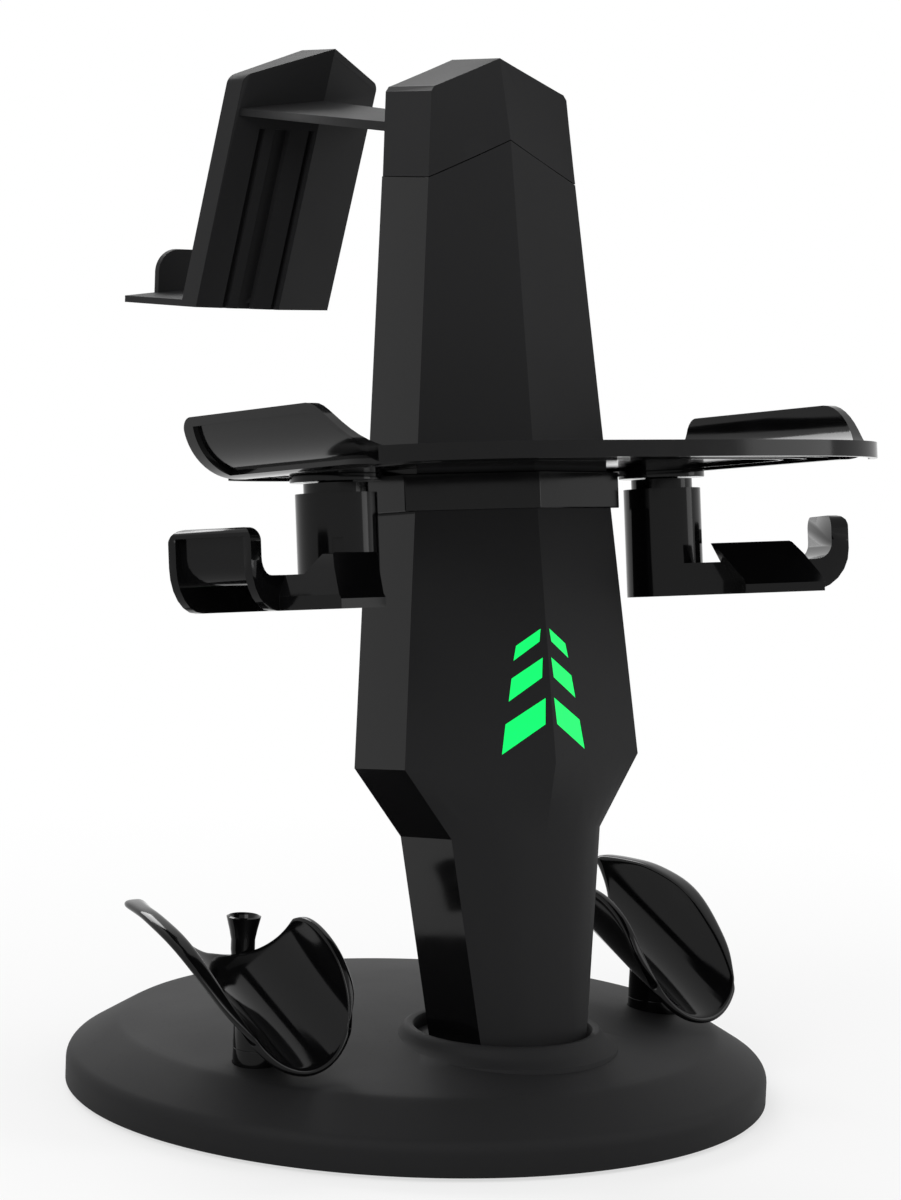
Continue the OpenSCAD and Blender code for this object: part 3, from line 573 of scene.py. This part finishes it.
def scoop(name):
    """The outermost two columns of the grid on each side are the turned-out lip."""
    pick_none()
    columns, rows = 27, 21
    bpy.ops.mesh.primitive_grid_add(x_subdivisions=columns - 1, y_subdivisions=rows - 1, size=1)
    piece = bpy.context.object
    piece.name = name
    for point in piece.data.vertices:
        column = round((point.co.x + 0.5) * (columns - 1))
        along = point.co.y + 0.5
        inner = min(max(column, 2), columns - 3)
        wide = lip_width(along, column > columns / 2)
        lip = {0: wide, 1: 0.42 * wide}.get(min(column, columns - 1 - column), 0)
        point.co = trough_point((inner - 2) / (columns - 5) * 2 - 1 or 1e-6, along, lip)
    wall = piece.modifiers.new("wall", "SOLIDIFY")
    wall.thickness, wall.offset, wall.use_even_offset = WALL * MM, -1, True
    apply_all(piece)
    face_out(piece)
    soft = piece.modifiers.new("soft", "SUBSURF")
    soft.levels = soft.render_levels = 2
    apply_all(piece)
    return piece


print("sheet ready")

# %% [markdown]
# ## The cradles' boss and stub
# The boss rises from the post to the trough and is cut off along the trough's slope, a little
# below its inner face. The stub behind the trough widens like a trumpet and is hollow at its
# end. One cradle is drawn, and the left one is its mirror image.

# %% Make both cradles
BOSS_R, BOSS_FOOT, STUB_AT = 8, 26.05, (CRADLE_X - 10.5, BACK_Y - 1)
STUB_RINGS = [(3.1, -5), (3.7, 0), (3.7, 3), (4.3, 6), (5.3, 10), (4.6, 10.3), (3.9, 9.6), (2.9, 6),
              (2.2, 3)]


def cradle(name, node, mirrored):
    piece = scoop(name)
    over_post = trough_floor(POST_Y)
    boss = turned("boss", [(BOSS_R, BOSS_FOOT), (BOSS_R, 30), (BOSS_R, over_post + 2)],
                  (CRADLE_X, POST_Y), 64)
    edit(boss)
    bpy.ops.mesh.select_all(action="SELECT")
    bpy.ops.mesh.bisect(plane_co=(0, POST_Y * MM, (over_post - 1.0) * MM), plane_no=(0, -SLOPE, 1),
                        use_fill=True, clear_outer=True)
    done()
    joined(piece, boss, "UNION")
    foot = trough_floor(BACK_Y)
    stub = turned("stub", [(wide, foot + high) for wide, high in STUB_RINGS], STUB_AT, 48)
    joined(piece, stub, "UNION")
    if mirrored:
        piece.scale.x = -1
        bake_place(piece)
    face_out(piece)
    smooth(piece, 40)
    seat(piece, node)
    print(piece.name, len(piece.data.polygons), "faces")


cradle("right_scoop", "right_cradle", False)
cradle("left_scoop", "left_cradle", True)

# %% [markdown]
# ## Softened mouldings
# No moulded edge is a knife edge: a radius of a few tenths of a millimetre catches the light as
# a thin line. A copy of a solid is merged, its flat faces are joined, and a bevel rounds its
# sharp edges. They could be drawn afresh, but this keeps the measured form and only adds the
# edge that makes plastic look real. Shading is smooth up to a small angle only.

# %% Soften the edges of a solid's copy
def moulding(node):
    piece = bpy.data.objects.new(node + "_moulding", nodes[node].data.copy())
    bpy.context.scene.collection.objects.link(piece)
    return piece


def merged(piece):
    edit(piece)
    bpy.ops.mesh.select_all(action="SELECT")
    bpy.ops.mesh.remove_doubles(threshold=0.000004)
    bpy.ops.mesh.dissolve_limited(angle_limit=math.radians(0.6))
    done()


def softened(piece, radius, shade=18):
    merged(piece)
    rounded_edges(piece, radius)
    smooth(piece, shade)
    flat_faces(piece)
    return piece


radii = {"column_body": 0.5, "shelf_band": 0.4, "left_pivot": 0.3, "right_pivot": 0.3,
         "left_post": 0.3, "right_post": 0.3}
for node, radius in radii.items():
    made = seat(softened(moulding(node), radius, shade=32), node)
    print(made.name, len(made.data.polygons), "faces")

# %% [markdown]
# ## The column's own frame
# The column leans back, and the shelf and the hooks lean with it. They are easiest to draw
# upright, in a frame that starts at the column's foot, and one matrix then leans them.

# %% Lean what is drawn upright
COLUMN_FOOT, LEAN = (0, -47, 26), 7.5


def leaned():
    """From the column's own frame to the stand's, both in mm."""
    return Matrix.Translation(COLUMN_FOOT) @ Matrix.Rotation(math.radians(-LEAN), 4, "X")


def stand(piece):
    """A piece drawn in mm in the column's frame goes to its place, in metres."""
    piece.data.transform(Matrix.Scale(MM, 4) @ leaned())
    face_out(piece)


print("leans back by", LEAN, "degrees")

# %% [markdown]
# ## The column's front and the hanger
# Both are folded shapes with one long ridge, so they start as a copy of their solid. A few of
# its points are moved to match the photo more closely: the cap's shoulders are squarer, the
# bridge falls towards the cap, and the panel above the bridge is plain. The ridge stays crisp,
# while the roof's two corners get a wide round.

# %% Move the points that the photo shows elsewhere
RIDGE_HALF, WAIST_Z = 0.3, 112.0
CAP_LOW, CAP_HALF, CAP_FRONT, SHOULDER, SHOULDER_LIFT = 272, 25.6, 11, 0.84, 2.0
PANEL_Y, PANEL_Z, PANEL_FOLD, PANEL_LEAN = 70.1, 315, 0.385, -0.333
BRIDGE_HALF, BRIDGE_LOW, BRIDGE_HIGH, BRIDGE_LENGTH = 25.1, 300, 307.5, 84
FALL_AT_CAP, FALL_CHANGE, CAP_LEAN = -4.7, 6.8, 0.13
ROOF_HALF, ROOF_Z, ROOF_ROUND = 25.9, 314.8, 3.5


def on_ridge(point):
    return abs(point.x) < RIDGE_HALF and point.z > WAIST_Z


def square_shoulders(piece):
    """The cap's two shoulders are rounded over a short stretch only."""
    to_own = leaned().inverted()
    for point in piece.data.vertices:
        own = to_own @ (point.co / MM)
        side = abs(own.x) / CAP_HALF
        if own.y < CAP_FRONT and own.z > CAP_LOW and SHOULDER < side < 1.02:
            lift = SHOULDER_LIFT * min(1, (side - SHOULDER) / 0.1) * min(1, (own.z - CAP_LOW) / 8)
            point.co = (leaned() @ Vector((own.x, own.y, own.z + lift))) * MM


def panel_front(x, z):
    """How far back the folded front of the hanging panel lies."""
    return PANEL_Y + PANEL_FOLD * abs(x) + PANEL_LEAN * (z - PANEL_Z)


def smooth_hanger(piece):
    """Above the bridge the panel is plain, and the bridge falls a little towards the cap."""
    for point in piece.data.vertices:
        x, y, z = point.co / MM
        if z > BRIDGE_LOW and 1.2 < y - panel_front(x, z) < 2.1:
            y = panel_front(x, z)
        if abs(x) < BRIDGE_HALF and BRIDGE_LOW < z < BRIDGE_HIGH and -1 < y < BRIDGE_LENGTH + 3:
            fall = FALL_AT_CAP + FALL_CHANGE * y / BRIDGE_LENGTH
            y += fall * (CAP_LEAN if y < 10 else PANEL_LEAN)
            z += fall
        point.co = Vector((x, y, z)) * MM


def on_roof_corner(point):
    return abs(point.x) > ROOF_HALF and point.z > ROOF_Z


print("bridge falls by", round(FALL_CHANGE, 1), "mm from the panel to the cap")

# %% Finish the column's front and the hanger
for node in ("column_front", "strap_hanger"):
    made = moulding(node)
    if node == "strap_hanger":
        square_shoulders(made)
        smooth_hanger(made)
        merged(made)
        pick_edges(made, on_roof_corner)
        bpy.ops.mesh.bevel(offset=ROOF_ROUND * MM, segments=5, affect="EDGES", clamp_overlap=True)
        done()
    softened(made, 0.35)
    crease(made, on_ridge)
    flat_faces(made)
    seat(made, node)
    print(made.name, len(made.data.polygons), "faces")

# %% [markdown]
# ## The headset's shelf
# The shelf is a rounded oblong with a thin rim, and rings of fine ribs under it. A circle is
# pulled to the oblong, and then it takes only extrusions and insets, each ring within the last.
# Ribs joined on one by one would leave seams, and insets leave one clean mesh. It is drawn in
# mm, upright, in the column's own frame.

# %% Draw the shelf's plate
SHELF_A, SHELF_B, SHELF_Y, SHELF_S, SHELF_N, SHELF_TOP = 97, 68, -30, 170.5, 3.5, 175.2
RIM_T, RIM_RISE, PLATE_UNDER = 2.2, 1.0, 1.5
RIBS, RIB_T, RIB_H, FIRST_GAP, RIB_GAP = 4, 1.4, 0.9, 4.8, 5.6


def power(x, n):
    return math.copysign(abs(x) ** n, x)


def inset(thickness):
    bpy.ops.mesh.inset(thickness=thickness, depth=0, use_even_offset=True)


def face_at(piece, z):
    """Selects the level face at that height."""
    done()
    for kind in (piece.data.vertices, piece.data.edges, piece.data.polygons):
        for item in kind:
            item.select = False
    for face in piece.data.polygons:
        face.select = abs(face.center.z - z) < 0.01 and abs(face.normal.z) > 0.99
    bpy.ops.object.mode_set(mode="EDIT")


pick_none()
bpy.ops.mesh.primitive_circle_add(vertices=240, radius=1, fill_type="NGON")
shelf = bpy.context.object
shelf.name = "headset_tray"
for point in shelf.data.vertices:
    a = math.atan2(point.co.y, point.co.x)
    point.co = (SHELF_A * power(math.cos(a), 2 / SHELF_N),
                SHELF_Y + SHELF_B * power(math.sin(a), 2 / SHELF_N), SHELF_S)
edit(shelf)
bpy.ops.mesh.select_mode(type="FACE")
bpy.ops.mesh.select_all(action="SELECT")
extrude(SHELF_TOP - SHELF_S)
inset(RIM_T)
extrude(-RIM_RISE)
done()
edit(shelf)
bpy.ops.mesh.select_all(action="SELECT")
bpy.ops.mesh.normals_make_consistent(inside=False)
face_at(shelf, SHELF_S)
inset(RIM_T)
extrude(PLATE_UNDER)
for ring in range(RIBS):
    inset(FIRST_GAP if ring == 0 else RIB_GAP)
    extrude(-RIB_H)
    inset(RIB_T)
    extrude(RIB_H)
bpy.ops.mesh.select_mode(type="VERT")
done()
face_out(shelf)
print("plate:", len(shelf.data.polygons), "faces")

# %% [markdown]
# ## The shelf's curled ends
# The two curled ends are sheets bent to a quarter round, as a gutter is. Their upper edge falls
# in a soft S to the rim in front, and the outside is pressed in within a border. A flat grid is
# given a wall first, and each of its points is then put on the outer or the inner round, which
# keeps the upper edge level across the wall.

# %% Bend a curled end
CURL_X, CURL_R, CURL_T, CURL_FRONT, CURL_BEND, CURL_BACK = 79, 18, 3, -73.5, -48, 17
FLAT_TURN, CURL_LOW, CURL_ROUND, CURL_COLUMNS, CURL_ROWS = 0.16, 4.2, 4.0, 22, 60
FRONT_BORDER, BACK_BORDER, LOW_BORDER, HIGH_BORDER, PRESS = 9, 5.5, 6, 2, 1.5


def curl_height(y):
    """The upper edge: an S in front, level along the side, a quarter round at the back."""
    if y > CURL_BEND:
        over = min(max(0, y - CURL_BACK + CURL_ROUND), CURL_ROUND)
        return CURL_R - CURL_ROUND + math.sqrt(CURL_ROUND ** 2 - over ** 2)
    t = min((CURL_BEND - y) / (CURL_BEND - CURL_FRONT), 1)
    return CURL_R + (CURL_LOW - CURL_R) * (1 - math.cos(math.pi * t)) / 2


def curl_point(u, y, radius):
    """u runs from the plate at 0 up to the curl's level upper edge at 1."""
    full = math.acos(min((CURL_R - curl_height(y)) / radius, 1))
    turn = (full + FLAT_TURN) * u - FLAT_TURN
    out = radius * math.sin(turn) if turn > 0 else CURL_R * turn
    return Vector((CURL_X + out, y, SHELF_S + CURL_R - radius * math.cos(max(turn, 0))))


def curl_sheet():
    pick_none()
    bpy.ops.mesh.primitive_grid_add(x_subdivisions=CURL_COLUMNS, y_subdivisions=CURL_ROWS, size=1)
    sheet = bpy.context.object
    start = CURL_FRONT - 0.4
    places = []
    for point in sheet.data.vertices:
        closer_to_the_back = math.sin(math.pi / 2 * (point.co.y + 0.5))
        places.append((point.co.x + 0.5, start + (CURL_BACK - start) * closer_to_the_back))
    wall = sheet.modifiers.new("wall", "SOLIDIFY")
    wall.thickness, wall.offset = 0.1, 1
    apply_all(sheet)
    for i, point in enumerate(sheet.data.vertices):
        u, y = places[i % len(places)]
        point.co = curl_point(u, y, CURL_R if i < len(places) else CURL_R - CURL_T)
    face_out(sheet)
    return sheet


def press_in(sheet):
    """Presses the outside in, within a border along its edges."""
    edit(sheet)
    bpy.ops.mesh.select_all(action="DESELECT")
    done()
    for kind in (sheet.data.vertices, sheet.data.edges):
        for item in kind:
            item.select = False
    for face in sheet.data.polygons:
        c, n = face.center, face.normal
        outwards = n.x * (c.x - CURL_X) + n.z * (c.z - SHELF_S - CURL_R) > 0
        turn = math.atan2(c.x - CURL_X, CURL_R + SHELF_S - c.z)
        full = math.acos((CURL_R - curl_height(c.y)) / CURL_R)
        column = (turn + FLAT_TURN) / (full + FLAT_TURN) * CURL_COLUMNS
        face.select = (outwards and abs(n.y) < 0.5
                       and LOW_BORDER < column < CURL_COLUMNS - HIGH_BORDER
                       and CURL_FRONT + FRONT_BORDER < c.y < CURL_BACK - BACK_BORDER)
    bpy.ops.object.mode_set(mode="EDIT")
    bpy.ops.mesh.select_mode(type="FACE")
    bpy.ops.mesh.inset(thickness=0.25, depth=-PRESS, use_even_offset=True)
    bpy.ops.mesh.select_mode(type="VERT")
    done()


print("curl is", CURL_R, "mm high and", CURL_T, "mm thick")

# %% [markdown]
# ## Joining the shelf
# The plate is cut away where the curled ends take over, and its rear corners are rounded. Each
# side also gets the round boss that the hook's pivot is screwed to. The opening for the column
# has the column's own five-sided plan, with a little room all round.

# %% Join the shelf and open it for the column
REAR_X, REAR_Y = 63, 17.3
HUB, HUB_BOSS_R, HUB_BOSS_H, HUB_BOSS_S = (61.2, -8.3), 13.4, 3.7, 172.35
SCREW_R, HOLE_S = 1.5, 171
COLUMN_PLAN = [(0, -23.95), (35.97, -13.2), (35.97, 12.55), (-35.97, 12.55), (-35.97, -13.2)]


def rear_cutter(side):
    """Spares a quarter round at the plate's rear corner."""
    cutter = block((40, 40, 30), (side * (REAR_X + 20), REAR_Y + 20, SHELF_S + 10))
    joined(cutter, rod(CURL_X - REAR_X, 60, (side * REAR_X, REAR_Y, SHELF_S), 96), "DIFFERENCE")
    return cutter


for side in (1, -1):
    rear = REAR_Y + 0.1
    side_cutter = block((60, rear - CURL_FRONT, 30),
                        (side * (CURL_X + 30), (rear + CURL_FRONT) / 2, SHELF_S + 10))
    joined(shelf, side_cutter, "DIFFERENCE")
    joined(shelf, rear_cutter(side), "DIFFERENCE")
    sheet = curl_sheet()
    press_in(sheet)
    if side < 0:
        sheet.scale.x = -1
        bake_place(sheet)
        face_out(sheet)
    joined(shelf, sheet, "UNION")
    x, y = side * HUB[0], HUB[1]
    joined(shelf, rod(HUB_BOSS_R, HUB_BOSS_H, (x, y, HUB_BOSS_S), 96), "UNION")
    joined(shelf, rod(SCREW_R, HUB_BOSS_H, (x, y, HOLE_S), 24), "DIFFERENCE")
pick_none()
bpy.ops.mesh.primitive_circle_add(vertices=5, radius=1, fill_type="NGON")
opening = bpy.context.object
for point, (x, y) in zip(opening.data.vertices, COLUMN_PLAN):
    point.co = (x, y, SHELF_S - 5)
edit(opening)
bpy.ops.mesh.select_all(action="SELECT")
extrude(30)
done()
face_out(opening)
joined(shelf, opening, "DIFFERENCE")
stand(shelf)
rounded_edges(shelf, 0.3, 2, 40)
smooth(shelf, 32)
flat_faces(shelf)
seat(shelf, "headset_shelf")
print("shelf:", len(shelf.data.polygons), "faces")

# %% [markdown]
# ## The hooks
# Each hook's upturned lip has rounded corners. A bevel would run on into the hook's curve, so
# the corners are cut. A corner cutter is a small block with a round bite taken out of it, and
# what it leaves is a quarter round. It is made in the hook's own directions and then turned
# into place with the hook.

# %% Round the corners of the hooks' lips
def corner_cutter(x, y, z, radius, to_y):
    """A block at an upper corner that spares a quarter round, in mm, along x."""
    step = (radius - 1) / 2
    cutter = block((30, radius + 1, radius + 1), (x, y + to_y * step, z - step))
    joined(cutter, rod(radius, 60, (x, y + to_y * radius, z - radius), 64, 90), "DIFFERENCE")
    return cutter


HOLDER_TURN, HOLDER_S, HOOK_REACH, HOOK_H, HOOK_ROUND = -26, 131.5, 58, 23.5, 4.0
HOOK_SIDES = ((-6, 1), (21, -1))
for side, node in ((1, "right_holder"), (-1, "left_holder")):
    made = softened(moulding(node), 0.45, shade=32)
    for y, to_y in HOOK_SIDES:
        cutter = corner_cutter(HOOK_REACH - 4, y, HOLDER_S + HOOK_H, HOOK_ROUND, to_y)
        place = (leaned() @ Matrix.Translation((HUB[0], HUB[1], 0))
                 @ Matrix.Rotation(math.radians(HOLDER_TURN), 4, "Z"))
        place = Matrix.Scale(MM, 4) @ Matrix.Scale(side, 4, (1, 0, 0)) @ place
        cutter.data.transform(place)
        face_out(cutter)
        joined(made, cutter, "DIFFERENCE")
    smooth(made, 32)
    seat(made, node)
    print(made.name, len(made.data.polygons), "faces")

# %% [markdown]
# ## Floor, backdrop and light
# The photo has a plain white ground. A wide pale floor carries the shadow, and it turns into
# plain white away from the stand. The world is white wherever the camera, a mirror or glass
# looks at it, and dimmer for the light that it gives.

# %% Make the floor and the world
FADE_FROM, FADE_RATE, ROOM_LIGHT = 0.12, 2.6, 0.55
bpy.ops.mesh.primitive_plane_add(size=16, location=(0, 0, -0.0002))
floor = bpy.context.object
floor.name = "floor"
ground = Tree(bpy.data.materials.new("pale_floor"))
spot = ground.node("ShaderNodeVectorMath", {"operation": "LENGTH"}, {0: ground.place()})[1]
eye = ground.node("ShaderNodeLightPath")
fade = ((spot - FADE_FROM) * FADE_RATE).clamped()
seen = (eye[0] * (fade * 0.35 + 0.65) + (eye[3] + eye[6]) * fade).clamped()
mat = ground.node("ShaderNodeBsdfDiffuse", {}, {"Color": (0.9, 0.9, 0.9, 1)})[0]
paper = ground.node("ShaderNodeEmission", {}, {"Color": (1, 1, 1, 1), "Strength": 1.0})[0]
both = ground.node("ShaderNodeMixShader", {}, {0: seen, 1: mat, 2: paper})[0]
ground.node("ShaderNodeOutputMaterial", {}, {"Surface": both})
floor.data.materials.append(ground.owner)

world = Tree(bpy.data.worlds.new("studio"))
bpy.context.scene.world = world.owner
rays = world.node("ShaderNodeLightPath")
seen = (rays[0] + rays[3] + rays[6]).clamped()
room = world.node("ShaderNodeBackground", {}, {"Color": (1, 1, 1, 1), "Strength": ROOM_LIGHT})[0]
white = world.node("ShaderNodeBackground", {}, {"Color": (1, 1, 1, 1), "Strength": 1.0})[0]
both = world.node("ShaderNodeMixShader", {}, {0: seen, 1: room, 2: white})[0]
world.node("ShaderNodeOutputWorld", {}, {"Surface": both})
print("floor and world ready")

# %% [markdown]
# ## The lamps
# Three wide soft lamps draw long gradients on the satin and clean strips on the gloss: the key
# from the front left, a weak fill from the front right, and a rim lamp from behind. Small lamps
# would leave hard dots on the polished plastic.

# %% Hang the soft lamps
def lamp(name, place, aim, size, power):
    light = bpy.data.lights.new(name, "AREA")
    light.shape, light.size, light.size_y, light.energy = "RECTANGLE", size[0], size[1], power
    piece = bpy.data.objects.new(name, light)
    bpy.context.scene.collection.objects.link(piece)
    piece.location = place
    piece.rotation_euler = (Vector(aim) - Vector(place)).to_track_quat("-Z", "Y").to_euler()


lamp("key", (-1.3, -0.7, 1.2), (0, 0, 0.15), (0.9, 0.9), 12)
lamp("fill", (1.2, -1.0, 0.8), (0, 0, 0.15), (0.6, 1.2), 6)
lamp("rim", (0.3, 1.4, 1.2), (0, 0, 0.15), (1.0, 0.5), 10)
bpy.context.scene.view_settings.view_transform = "Standard"
print("lamps ready")
